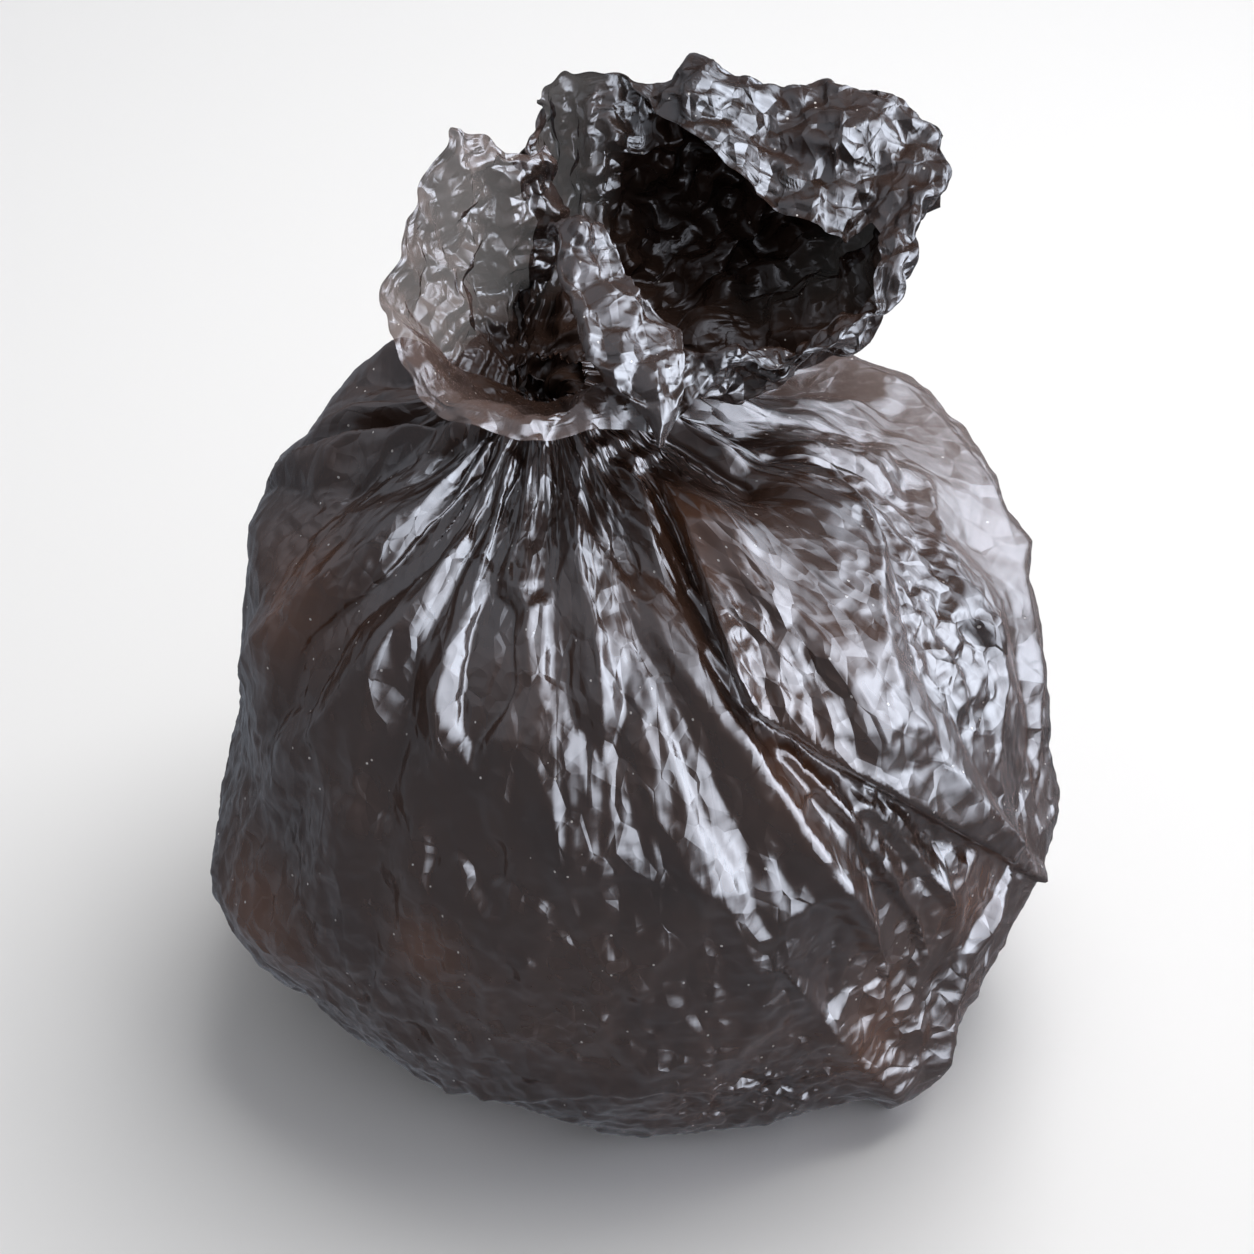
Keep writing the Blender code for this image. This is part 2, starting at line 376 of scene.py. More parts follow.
def nearest_on(path, surface, normal, reach):
    """For the points within reach of a line over the bag: which they are, how far from it, on which
    side, and how far along it, from 0 to 1."""
    path = np.array(path, float)
    curve = spline(path, np.linspace(0, len(path) - 1, len(path) * 4))
    spots = packed_shape(np.radians(curve[:, 0]), curve[:, 1])
    middle = spots.mean(axis=0)
    extent = np.linalg.norm(spots - middle, axis=1).max() + reach
    near = np.linalg.norm(surface - middle, axis=-1) < extent
    points, up = surface[near], normal[near]
    nearest = np.full(len(points), 1e3)
    side = np.zeros(len(points))
    along = np.zeros(len(points))
    for k in range(len(spots) - 1):
        a, d = spots[k], spots[k + 1] - spots[k]
        t = np.clip(((points - a) @ d) / (d @ d), 0, 1)
        away = points - (a + t[:, None] * d)
        distance = np.linalg.norm(away, axis=1)
        closer = distance < nearest
        nearest = np.where(closer, distance, nearest)
        side = np.where(closer, np.einsum("ij,ij->i", np.cross(d, up), away), side)
        along = np.where(closer, (k + t) / (len(spots) - 1), along)
    return near, nearest, side, along


def fold_heights(surface, normal):
    """Height of the main folds, and how far they lean round the bag, both in metres."""
    height = np.zeros(surface.shape[:2])
    lean = np.zeros(surface.shape[:2])
    room = np.clip(np.linalg.norm(surface[..., :2] - KNOT[:2], axis=-1) / 0.11, 0.12, 1)
    for path, size, left, right, over in FOLDS:
        near, nearest, side, along = nearest_on(path, surface, normal, 0.045)
        point = 1 - 0.9 * smooth_step(along, 0.70, 1.0)
        width = np.where(side > 0, left, right) * MM * room[near] * point + 0.0005
        fade = smooth_step(along, 0.0, 0.12) * (1 - 0.6 * smooth_step(along, 0.80, 1.0))
        rise = np.maximum(0, 1 - nearest / width) * fade * np.clip(room[near] * 1.6, 0, 1)
        height[near] += size * MM * rise
        lean[near] += over * MM * rise
    return height, lean


def pleat_heights(surface, normal):
    """Flat film between the crests and valleys of the pleats, in metres."""
    reach = 0.018
    gaps = []
    for lines in (CRESTS, VALLEYS):
        gap = np.full(surface.shape[:2], reach)
        for strength, path in lines:
            near, nearest, _, along = nearest_on(path, surface, normal, reach)
            weak = 1 - strength + smooth_step(along, 0.75, 1.0) + 0.5 * smooth_step(0.06 - along, 0, 0.06)
            gap[near] = np.minimum(gap[near], nearest + reach * weak)
        gaps.append(gap)
    return 0.36 * (gaps[1] - gaps[0])


def gather_heights(angle, share, radius):
    """Pleats at the knot: many narrow ones that join into fewer, wider ones further out."""
    rows, columns = angle.shape
    height = np.zeros(angle.shape)
    drift = 0.35 * soft_noise(rows, columns, 3, 9, 11) + 0.22 * soft_noise(rows, columns, 5, 22, 12)
    front = np.exp(-(((np.degrees(angle) - 255) / 55) ** 4))
    for count, steep, fade_from, fade_to, seed in ((44, 0.45, 0.045, 0.085, 21), (22, 0.26, 0.075, 0.130, 22),
                                                   (11, 0.18, 0.10, 0.165, 23)):
        wave = 2 * np.pi * radius / count
        size = np.minimum(steep * wave, 0.010)
        if count < 40:
            size = size * (1 - 0.9 * front)
        phase = count * angle / (2 * np.pi) + drift * count / 22 + 0.13 * seed
        strength = 0.75 + 0.6 * soft_noise(rows, columns, 4, count, seed)
        ends = fade_from + (fade_to - fade_from) * (0.6 + 0.5 * soft_noise(rows, columns, 2, count, seed + 5))
        strength *= 1 - smooth_step(radius, ends * 0.75, ends * 1.15)
        height += size * strength * triangle_wave(phase)
    return height


# Patches of crumpled film: compass angle, share along the film, reach in degrees, reach in share,
# then the extra film round the bag and up it, each unit 3 parts in 1000 of its length
CRUMPLED = [
    (-96, 0.56, 20, 0.12, 2.2, 0.8), (-88, 0.70, 24, 0.10, 1.8, 0.6), (-28, 0.72, 20, 0.09, 2.6, 3.4),
    (-72, 0.36, 16, 0.05, 2.0, 2.6), (-56, 0.58, 9, 0.12, 1.8, 1.2), (-8, 0.80, 20, 0.06, 2.0, 1.6),
    (-160, 0.75, 16, 0.10, 1.2, 1.0), (-130, 0.45, 14, 0.10, 1.0, 0.6), (30, 0.60, 26, 0.16, 1.2, 1.2),
    (90, 0.60, 60, 0.20, 1.6, 0.8), (180, 0.50, 30, 0.15, 1.2, 0.8), (60, 0.40, 50, 0.10, 1.2, 1.2),
    (-60, 0.74, 10, 0.06, 2.4, 2.4),
]


# Places where light comes through the film and warms its colour: compass angle, share, reach in
# degrees, reach in share
WARM = [
    (-119, 0.51, 6, 0.035), (-63, 0.67, 6, 0.04), (-35, 0.50, 7, 0.035), (-54, 0.40, 6, 0.05), (-60, 0.86, 9, 0.05),
    (-156, 0.72, 12, 0.06), (-150, 0.46, 10, 0.05), (40, 0.55, 12, 0.08), (150, 0.60, 14, 0.08),
]


def warmed(angle, share):
    """How much light comes warmly through the film, from 0 to 1."""
    degrees = np.degrees(angle)
    most = np.zeros(np.shape(angle))
    for turn, level, *reach in WARM:
        most = np.maximum(most, patch(degrees, share, (turn, level), reach))
    return most


def crumpled(angle, share):
    """How crumpled the film is, from 0 to 1."""
    degrees = np.degrees(angle)
    most = 0.16 + 0.26 * (1 - smooth_step(share, 0.52, 0.66))
    for turn, level, wide, tall, _, more_up in CRUMPLED:
        here = patch(degrees, share, (turn, level), (wide, tall), FLAT_PATCH)
        most = np.maximum(most, here * min(1, 0.4 * more_up))
    return most


def facet_heights(angle, share):
    """Flat places between creases: broad ones all over, long ones down the pleats, small crumples."""
    degrees = np.degrees(angle)
    long_ones = smooth_step(share, 0.36, 0.50) * (1 - smooth_step(share, 0.78, 0.90))
    front = np.exp(-(((degrees - 262) / 60) ** 4))
    height = 0.0115 * facets(angle, share, 15, 7, 101) * smooth_step(share, 0.2, 0.3)
    height += 0.0034 * facets(angle, share, 58, 10, 103) * long_ones * (0.4 + 0.6 * front)
    height += 0.0044 * facets(angle, share, 92, 42, 105) * crumpled(angle, share)
    height += 0.0016 * facets(angle, share, 190, 84, 107) * crumpled(angle, share)
    return height * (1 - smooth_step(share, 0.84, 0.95))


def body_rows(count):
    """Shares of the film from base to knot, closer together where the bag is seen."""
    knots = np.array((0.10, 0.20, 0.30, 1.0))
    at = np.array((0.0, 0.04, 0.12, 1.0))
    return np.interp(np.linspace(0, 1, count), at, knots)


def make_body_film(rows, columns):
    share, angle = np.meshgrid(body_rows(rows), whole_turn(columns), indexing="ij")
    surface = packed_shape(angle, share)
    normal = tube_normals(surface)
    radius = np.linalg.norm(surface[..., :2] - KNOT[:2], axis=-1)
    height, lean = fold_heights(surface, normal)
    height += pleat_heights(surface, normal)
    height += gather_heights(angle, share, radius)
    height += facet_heights(angle, share)
    across = np.cross(np.array((0.0, 0.0, 1.0)), normal)
    across /= np.linalg.norm(across, axis=-1, keepdims=True) + 1e-9
    guide = surface + normal * height[..., None] - across * lean[..., None]
    guide[..., 2] = np.maximum(guide[..., 2], 0)
    return share, angle, surface, normal, guide


def crumple(share, angle):
    """Extra film in each patch, round the bag and up it, as shares of its length."""
    rows, columns = share.shape
    patches = soft_noise(rows, columns, 6, 10, 41) * 0.5 + soft_noise(rows, columns, 12, 20, 42) * 0.5
    round_ = 0.001 + 0.001 * patches
    up = 0.001 + 0.001 * soft_noise(rows, columns, 8, 14, 43)
    degrees = np.degrees(angle)
    for turn, level, wide, tall, more_round, more_up in CRUMPLED:
        here = patch(degrees, share, (turn, level), (wide, tall), FLAT_PATCH)
        round_ += 0.003 * more_round * here
        up += 0.003 * more_up * here
    low = smooth_step(share, 0.24, 0.40)
    return round_ * low, up * low


def settle_body():
    rows, columns = ((270, 640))
    share, angle, surface, normal, guide = make_body_film(rows, columns)
    round_, up = crumple(share, angle)
    film = Film(guide, round_, up)
    wobble = 0.0004 * soft_noise(rows, columns, rows // 3, columns // 3, 51)
    film.points += (normal * wobble[..., None]).astype(np.float32)
    core = surface - normal * (loose_gap(angle, share) + 0.001)[..., None]
    fixed = np.zeros((rows, columns), bool)
    fixed[0] = True
    fixed[-1] = True
    film.settle(40, guide, 0.02, 0.25, (3, 3), core, normal, 0.004, fixed)
    return film.points.astype(float), share, angle, surface, normal


def make_rubbish():
    """What the film is packed with: a dark lumpy mass close behind it."""
    rows, columns = 60, 120
    share, angle = np.meshgrid(np.linspace(0.10, 1.0, rows), whole_turn(columns), indexing="ij")
    surface = packed_shape(angle, share)
    normal = tube_normals(surface)
    lumps = 0.0035 * (1 + soft_noise(rows, columns, 9, 14, 31)) + 0.0015 * (1 + soft_noise(rows, columns, 20, 34, 32))
    points = surface - normal * (loose_gap(angle, share) + lumps)[..., None]
    points[..., 2] = np.maximum(points[..., 2], 0.003)
    return points


# ---------------------------------------------------------------- the open mouth above the knot
# One line for each gather of the mouth, clockwise from the tip that hangs down in front: the
# crest, then the film's cut edge as seen from the crest, in millimetres; how crumpled it is, how
# much light comes through it, and how far its wall bulges like a bowl, each from 0 to 1.
MOUTH_GATHERS = [
    ((10, -60, 402), (4, -28, -22), 0.3, 0.1, 0.0), ((-18, -80, 391), (-1, -12, -5), 0.08, 0.7, 0.0),
    ((-44, -89, 389), (-3, -12, -4), 0.08, 0.8, 0.0), ((-74, -80, 395), (-7, -9, -3), 0.12, 0.9, 0.0),
    ((-96, -56, 406), (-8, -4, 2), 0.15, 0.9, 0.1), ((-99, -26, 414), (-3, 2, 10), 0.35, 0.9, 0.3),
    ((-88, 2, 424), (-2, 4, 10), 0.6, 0.9, 0.5), ((-74, 24, 438), (-6, 6, 18), 0.8, 0.9, 0.6),
    ((-50, 34, 430), (4, 3, 6), 0.7, 0.6, 0.7), ((-32, 48, 410), (-3, 4, 4), 1.0, 0.2, 0.6),
    ((-42, 76, 420), (-6, 6, 10), 0.8, 0.5, 0.6), ((-22, 88, 430), (0, 6, 14), 0.8, 0.4, 0.6),
    ((2, 78, 440), (4, -14, 6), 0.9, 0.0, 0.8), ((32, 80, 446), (6, -44, -16), 1.0, 0.0, 1.0),
    ((66, 78, 448), (0, -60, -30), 1.0, 0.0, 1.1), ((104, 72, 445), (-12, -60, -38), 1.0, 0.0, 1.1),
    ((134, 50, 438), (-30, -34, -24), 1.0, 0.1, 1.0), ((124, 4, 418), (-18, -14, -4), 1.0, 0.0, 0.9),
    ((104, -28, 404), (-4, -8, 4), 0.9, 0.0, 0.7), ((74, -50, 392), (0, -8, 3), 0.8, 0.0, 0.5),
    ((46, -54, 394), (0, -6, 3), 0.7, 0.0, 0.4), ((28, -54, 400), (4, -12, -8), 0.5, 0.0, 0.2),
]


def ring(values, columns, corners=0.0):
    """A closed curve through one value for each gather: smooth, or with sharp corners at 1."""
    values = np.asarray(values, float)
    count = len(values)
    at = np.arange(columns) * count / columns
    j = at.astype(int)
    b = (at - j)[:, None]
    p0, p1, p2, p3 = (values[(j + k) % count] for k in (-1, 0, 1, 2))
    return cubic(p0, p1, p2, p3, b) * (1 - corners) + (p1 * (1 - b) + p2 * b) * corners


def make_mouth_film(rows, columns):
    """The film above the neck, from inside the knot to its cut edge."""
    crest = ring([gather[0] for gather in MOUTH_GATHERS], columns, corners=0.6) * MM
    edge = crest + ring([gather[1] for gather in MOUTH_GATHERS], columns, corners=0.8) * MM
    waves, thin, bowl = ring([gather[2:] for gather in MOUTH_GATHERS], columns).T
    turn = np.radians(-58 - 360 * np.arange(columns) / columns)
    out = np.stack((np.cos(turn), np.sin(turn), np.zeros(columns)), axis=1)
    neck = KNOT + out * 0.009 + (0, 0, 0.002)
    throat = KNOT + out * 0.015 + (0, 0, 0.026)
    away = (crest - throat) * (1, 1, 0)
    belly = throat * 0.50 + crest * 0.50 + away * (0.05 + 0.22 * bowl[:, None]) - bowl[:, None] * (0, 0, 0.018)
    stations = np.stack((neck, throat, belly, crest, edge))
    at = np.interp(np.linspace(0, 1, rows), (0, 0.13, 0.42, 0.72, 1), (0, 1, 2, 3, 4))
    guide = spline(stations.reshape(5, -1), at).reshape(rows, columns, 3)
    normal = tube_normals(guide)
    share, angle = np.meshgrid(np.linspace(0, 1, rows), turn, indexing="ij")
    drift = 0.5 * soft_noise(rows, columns, 3, 9, 61) + 0.3 * soft_noise(rows, columns, 6, 20, 62)
    height = np.zeros((rows, columns))
    for count, size, start, end, seed in ((40, 0.0016, 0.00, 0.30, 71), (22, 0.0060, 0.08, 0.70, 72),
                                          (13, 0.0085, 0.20, 0.95, 73)):
        phase = count * angle / (2 * np.pi) + drift * count / 16 + 0.17 * seed
        rise = smooth_step(share, start - 0.1, start + 0.12) * (1 - smooth_step(share, end - 0.2, end + 0.2))
        strength = 0.8 + 0.7 * soft_noise(rows, columns, 3, count, seed)
        height += size * rise * strength * triangle_wave(phase)
    height *= 0.35 * waves
    open_part = smooth_step(share, 0.08, 0.35) * (0.15 + 0.85 * waves)
    calm = 1 - 0.5 * smooth_step(share, 0.58, 0.72) - 0.4 * smooth_step(share, 0.85, 1.0)
    height += 0.0170 * facets_in_space(guide, 0.042, 109) * open_part * (1 - 0.5 * smooth_step(share, 0.85, 1.0))
    height += 0.0105 * facets_in_space(guide, 0.024, 111) * open_part * calm
    height += 0.0058 * facets_in_space(guide, 0.0120, 113) * open_part * calm * smooth_step(share, 0.35, 0.60)
    guide = guide + normal * height[..., None]
    return share, angle, normal, guide


# The mouth's film is settled from coarse to fine. For each level: rows, columns, steps, extra film round
# the mouth, size of the first wobble in metres, rows and columns in the broad hold, stiffness
MOUTH_LEVELS = [
    (38, 160, 300, 0.06, 0.0040, (4, 8), 0.015), (76, 320, 250, 0.04, 0.0012, (4, 8), 0.010),
    (152, 640, 240, 0.03, 0.0006, (5, 8), 0.007),
]


def settle_mouth():
    """The mouth's film at rest."""
    offset = None
    for number, (rows, columns, steps, more_round, wobble_size, reach, stiffness) in enumerate(
            MOUTH_LEVELS):
        share, angle, normal, guide = make_mouth_film(rows, columns)
        waves = ring([gather[2:] for gather in MOUTH_GATHERS], columns)[:, 0]
        slack_round = more_round * (1 + 0.5 * soft_noise(rows, columns, 5, 12, 81)) * waves
        slack_round *= smooth_step(share, 0.05, 0.40) * (1 - 0.8 * smooth_step(share, 0.60, 0.85))
        slack_up = 0.03 * (1 + 0.7 * soft_noise(rows, columns, 6, 14, 82)) * waves
        begin = guide if offset is None else guide + finer(offset, rows, columns)
        film = Film(begin, slack_round, slack_up)
        wobble = soft_noise(rows, columns, rows // 4, columns // 6, 91 + number) * wobble_size
        film.points += (normal * wobble[..., None]).astype(np.float32)
        fixed = np.zeros((rows, columns), bool)
        fixed[0] = True
        no_core = guide - normal * 5
        film.settle(steps, begin, 0.0005, 0.15, reach, no_core, normal, stiffness, fixed)
        offset = film.points - guide
    return film.points.astype(float), share, angle, normal


# ---------------------------------------------------------------- a flap of the mouth, and the knot
# The flap folded down over the front of the mouth: its middle line in millimetres and its width
FLAP = [
    ((-28, 24, 405), 18), ((-20, -20, 439), 22), ((-17, -36, 431), 30), ((-9, -52, 423), 34),
    ((1, -67, 414), 46), ((8, -80, 405), 34), ((12, -92, 395), 16), ((11, -101, 383), 1),
]


def make_flap(rows, columns):
    """A fold of film, pressed nearly flat, from its root at the back to the tip that hangs down."""
    at = np.linspace(0, len(FLAP) - 1, rows)
    middle = spline([place for place, width in FLAP], at) * MM
    width = spline([[width] for place, width in FLAP], at)[:, 0] * MM
    along = np.gradient(middle, axis=0)
    along /= np.linalg.norm(along, axis=1, keepdims=True)
    tilt = np.radians(np.interp(at, (0, 2, 4, 7), (-24, -20, -12, -6)))
    level = np.cross(along, (0, 0, 1.0))
    level /= np.linalg.norm(level, axis=1, keepdims=True)
    upward = np.cross(level, along)
    side = level * np.cos(tilt)[:, None] - upward * np.sin(tilt)[:, None]
    upward = np.cross(side, along)
    turn = whole_turn(columns)
    across = side[:, None] * (np.cos(turn) * 0.5)[None, :, None] * width[:, None, None]
    thick = np.minimum(0.0035, width * 0.25)[:, None] * np.sin(turn)[None, :]
    share, angle = np.meshgrid(np.linspace(0, 1, rows), turn, indexing="ij")
    fine = 0.0075 * facets(angle, share, 7, 9, 121) + 0.0014 * facets(angle, share, 14, 24, 123)
    bow = 0.006 * np.sin(np.pi * np.cos(turn) / 2)[None, :] ** 2
    points = middle[:, None] + across + upward[:, None] * (thick - bow * 0.6)[..., None]
    thin_tip = smooth_step(width, 0.004, 0.03)[:, None]
    points = points + upward[:, None] * (fine * thin_tip)[..., None]
    return points, share, angle


def make_knot():
    """The neck of the bag, twisted and pulled through itself into a crumpled roll."""
    rows, columns = 64, 160
    share, angle = np.meshgrid(np.linspace(0, 1, rows), whole_turn(columns), indexing="ij")
    turn = share * 1.7 * np.pi - 0.35 * np.pi
    twist = np.sin(14 * angle + 5.5 * share + 0.8 * soft_noise(rows, columns, 3, 9, 131))
    pleat = 0.0011 * triangle_wave(twist * 0.25)
    roll = 0.0085 + pleat + 0.0016 * facets(angle, share, 22, 9, 133) * 2
    ring_radius = 0.0165 + 0.003 * np.cos(2 * angle + 0.6)
    out = ring_radius + roll * np.cos(turn)
    tilt = 0.004 * np.cos(angle + 0.9) + 0.002 * np.sin(3 * angle)
    x = KNOT[0] + out * np.cos(angle)
    y = KNOT[1] + out * np.sin(angle)
    z = KNOT[2] + 0.009 + tilt - roll * np.sin(turn)
    return np.stack((x, y, z), axis=-1), share, angle


# ---------------------------------------------------------------- making a mesh from settled film
def add_object(name, data):
    item = bpy.data.objects.new(name, data)
    bpy.context.scene.collection.objects.link(item)
    return item


def tube_mesh(name, points, close_bottom):
    """A grid, closed into a tube by merging its two side edges, then given the film's shape."""
    rows, columns = points.shape[:2]
    grid = bmesh.new()
    bmesh.ops.create_grid(grid, x_segments=columns, y_segments=rows - 1, size=1)
    mesh = bpy.data.meshes.new(name)
    grid.to_mesh(mesh)
    grid.free()
    closed = np.concatenate((points, points[:, :1]), axis=1)
    mesh.vertices.foreach_set("co", closed.astype(np.float32).ravel())
    mesh.update()
    tube = bmesh.new()
    tube.from_mesh(mesh)
    tube.verts.ensure_lookup_table()
    seam = {}
    for row in range(rows):
        seam[tube.verts[row * (columns + 1) + columns]] = tube.verts[row * (columns + 1)]
    bmesh.ops.weld_verts(tube, targetmap=seam)
    if close_bottom:
        edges = [e for e in tube.edges if e.is_boundary and e.verts[0].co.z < 0.01 and e.verts[1].co.z < 0.01]
        bmesh.ops.holes_fill(tube, edges=edges, sides=0)
    bmesh.ops.recalc_face_normals(tube, faces=tube.faces)
    tube.to_mesh(mesh)
    tube.free()
    mesh.shade_smooth()
    return add_object(name, mesh)


def new_material(name):
    made = bpy.data.materials.new(name)
    made.use_nodes = True
    return made, made.node_tree.nodes["Principled BSDF"]


def new_group(name, sockets):
    """A shader node group. Each socket is (name, kind, value or None for an output)."""
    group = bpy.data.node_groups.new(name, "ShaderNodeTree")
    for label, kind, value in sockets:
        side = "OUTPUT" if value is None else "INPUT"
        made = group.interface.new_socket(name=label, in_out=side, socket_type=kind)
        if value is not None:
            made.default_value = value
    return group, group.nodes.new("NodeGroupInput"), group.nodes.new("NodeGroupOutput")


def feed(tree, value, socket):
    """Sets a socket to a fixed value, or links another node's output to it."""
    if isinstance(value, bpy.types.NodeSocket):
        tree.links.new(value, socket)
    else:
        socket.default_value = value


def math_node(tree, operation, *values):
    node = tree.nodes.new("ShaderNodeMath")
    node.operation = operation
    for socket, value in zip(node.inputs, values):
        feed(tree, value, socket)
    return node.outputs[0]


def mix_node(tree, first, second, factor):
    """A mix of two colours."""
    node = tree.nodes.new("ShaderNodeMix")
    node.data_type = "RGBA"
    feed(tree, first, node.inputs["A"])
    feed(tree, second, node.inputs["B"])
    feed(tree, factor, node.inputs["Factor"])
    return node.outputs["Result"]


def attribute(tree, name, output="Fac"):
    node = tree.nodes.new("ShaderNodeAttribute")
    node.attribute_name = name
    return node.outputs[output]


def voronoi(tree, place, scale):
    """Squared distance to the nearest spot, in cells."""
    node = tree.nodes.new("ShaderNodeTexVoronoi")
    tree.links.new(place, node.inputs["Vector"])
    tree.links.new(scale, node.inputs["Scale"])
    return math_node(tree, "MULTIPLY", node.outputs["Distance"], node.outputs["Distance"])


def crinkle_group():
    """Fine relief of handled film: small flat facets with sharp creases, longer along the film."""
    tree, inputs, outputs = new_group("film_creases", [
        ("Place", "NodeSocketVector", (0, 0, 0)), ("Facets per metre", "NodeSocketFloat", 150.0),
        ("Crumpled", "NodeSocketFloat", 0.5), ("Height", "NodeSocketFloat", None),
        ("Cloud", "NodeSocketFloat", None), ("Dust", "NodeSocketFloat", None)])
    place = inputs.outputs["Place"]
    scale = inputs.outputs["Facets per metre"]
    pair = []
    for side in (0, 1):
        spot = tree.nodes.new("ShaderNodeMapping")
        spot.inputs["Location"].default_value = (3.1 * side, 1.7 * side, 2.3 * side)
        spot.inputs["Scale"].default_value = (1, 1, 0.7)
        tree.links.new(place, spot.inputs["Vector"])
        pair.append(voronoi(tree, spot.outputs["Vector"], scale))
    facet = math_node(tree, "SUBTRACT", pair[0], pair[1])
    wrinkle = tree.nodes.new("ShaderNodeTexNoise")
    wrinkle.inputs["Detail"].default_value = 0
    tree.links.new(place, wrinkle.inputs["Vector"])
    tree.links.new(math_node(tree, "MULTIPLY", scale, 1.6), wrinkle.inputs["Scale"])
    ridge = math_node(tree, "ABSOLUTE", math_node(tree, "SUBTRACT", wrinkle.outputs["Fac"], 0.5))
    total = math_node(tree, "SUBTRACT", facet, math_node(tree, "MULTIPLY", ridge, 0.5))
    amount = math_node(tree, "ADD", math_node(tree, "MULTIPLY", inputs.outputs["Crumpled"], 0.75), 0.25)
    tree.links.new(math_node(tree, "MULTIPLY", total, amount), outputs.inputs["Height"])
    cloud = tree.nodes.new("ShaderNodeTexNoise")
    cloud.inputs["Scale"].default_value = 16
    cloud.inputs["Detail"].default_value = 3
    tree.links.new(place, cloud.inputs["Vector"])
    tree.links.new(cloud.outputs["Fac"], outputs.inputs["Cloud"])
    speck = tree.nodes.new("ShaderNodeTexVoronoi")
    speck.inputs["Scale"].default_value = 110
    tree.links.new(place, speck.inputs["Vector"])
    tree.links.new(math_node(tree, "LESS_THAN", speck.outputs["Distance"], 0.06), outputs.inputs["Dust"])
    return tree


# Colours of the film: a lighter brown painted where it is thin, for light coming through it; a warm brown glow
# painted where warm light comes through it; and where dust lies on it
LIT_THROUGH = (0.15, 0.100, 0.085, 1)
WARM_BROWN = (0.16, 0.062, 0.026, 1)
DUST = (0.45, 0.43, 0.42, 1)


def film_material(creases, name, thin_alpha, relief, facet_scale, dark, light):
    """Thin black polythene: glossy, a little see-through, with brown painted into its colour where light comes
    through it.
    """
    made, shader = new_material(name)
    tree = made.node_tree
    # Painted shade: less gloss where the mouth is deep, so that its hollow reads dark
    shade = math_node(tree, "MULTIPLY", attribute(tree, "deep_painted_shade"), 0.65)
    tree.links.new(math_node(tree, "SUBTRACT", 0.8, shade), shader.inputs["Specular IOR Level"])
    group = tree.nodes.new("ShaderNodeGroup")
    group.node_tree = creases
    tree.links.new(attribute(tree, "film_place", "Vector"), group.inputs["Place"])
    group.inputs["Facets per metre"].default_value = facet_scale
    tree.links.new(attribute(tree, "crumpled"), group.inputs["Crumpled"])
    bump = tree.nodes.new("ShaderNodeBump")
    bump.inputs["Strength"].default_value = 1.0
    bump.inputs["Distance"].default_value = relief
    tree.links.new(group.outputs["Height"], bump.inputs["Height"])
    tree.links.new(bump.outputs["Normal"], shader.inputs["Normal"])
    thin = attribute(tree, "thin")
    colour = mix_node(tree, dark, light, group.outputs["Cloud"])
    # Painted light: a lighter brown where light comes through thin film, and a warm brown glow where it comes through
    # warmly
    colour = mix_node(tree, colour, LIT_THROUGH, math_node(tree, "MULTIPLY", thin, 0.6))
    colour = mix_node(tree, colour, WARM_BROWN, math_node(tree, "MULTIPLY", attribute(tree, "warm"), 0.4))
    tree.links.new(mix_node(tree, colour, DUST, group.outputs["Dust"]), shader.inputs["Base Color"])
    rough = math_node(tree, "MULTIPLY", group.outputs["Cloud"], 0.16)
    tree.links.new(math_node(tree, "ADD", rough, 0.17), shader.inputs["Roughness"])
    if thin_alpha < 1:
        less = math_node(tree, "MULTIPLY", thin, 1 - thin_alpha)
        tree.links.new(math_node(tree, "SUBTRACT", 1.0, less), shader.inputs["Alpha"])
    return made


def lay_film(piece, opaque, see_through, thin):
    """Gives the piece the see-through material where the film stands clear, the opaque one elsewhere."""
    mesh = piece.data
    mesh.materials.append(opaque)
    mesh.materials.append(see_through)
    flat = np.zeros(len(mesh.vertices), np.float32)
    flat[:thin.size] = np.asarray(thin, np.float32).ravel()
    starts = np.empty(len(mesh.polygons), np.int32)
    corners = np.empty(len(mesh.loops), np.int32)
    mesh.polygons.foreach_get("loop_start", starts)
    mesh.loops.foreach_get("vertex_index", corners)
    clear = np.maximum.reduceat(flat[corners], starts) > 0.001
    mesh.polygons.foreach_set("material_index", clear.astype(np.int32))


def store(mesh, name, values, rows, columns):
    """Keeps one value a point on a tube's mesh, for its material."""
    values = np.asarray(values, dtype=np.float32)
    kind, each, key = ("FLOAT", 1, "value") if values.ndim == 2 else ("FLOAT_VECTOR", 3, "vector")
    layer = mesh.attributes.new(name, kind, "POINT")
    flat = np.zeros((len(mesh.vertices), each), dtype=np.float32)
    flat[:rows * columns] = values.reshape(-1, each)
    layer.data.foreach_set(key, flat.ravel())


def film_place(angle, share, girth, length):
    """Where each point is on the flat film, bent round so that it has no seam; metres."""
    radius = girth / (2 * np.pi)
    return np.stack((radius * np.cos(angle), radius * np.sin(angle), length * share), axis=-1)


def rubbish_material():
    made, shader = new_material("rubbish")
    shader.inputs["Base Color"].default_value = (0.03, 0.024, 0.022, 1)
    shader.inputs["Roughness"].default_value = 0.9
    return made


# ---------------------------------------------------------------- the room
def make_camera():
    view = bpy.data.cameras.new("camera")
    view.lens = 138.7
    view.sensor_width = 36
    view.clip_end = 50
    camera = add_object("camera", view)
    up = math.radians(40)
    aim = Vector((-0.0023, 0, 0.2012))
    camera.location = aim - Vector((0, math.cos(up), -math.sin(up))) * 2.2
    camera.rotation_euler = (math.radians(90) - up, 0, 0)
    bpy.context.scene.camera = camera


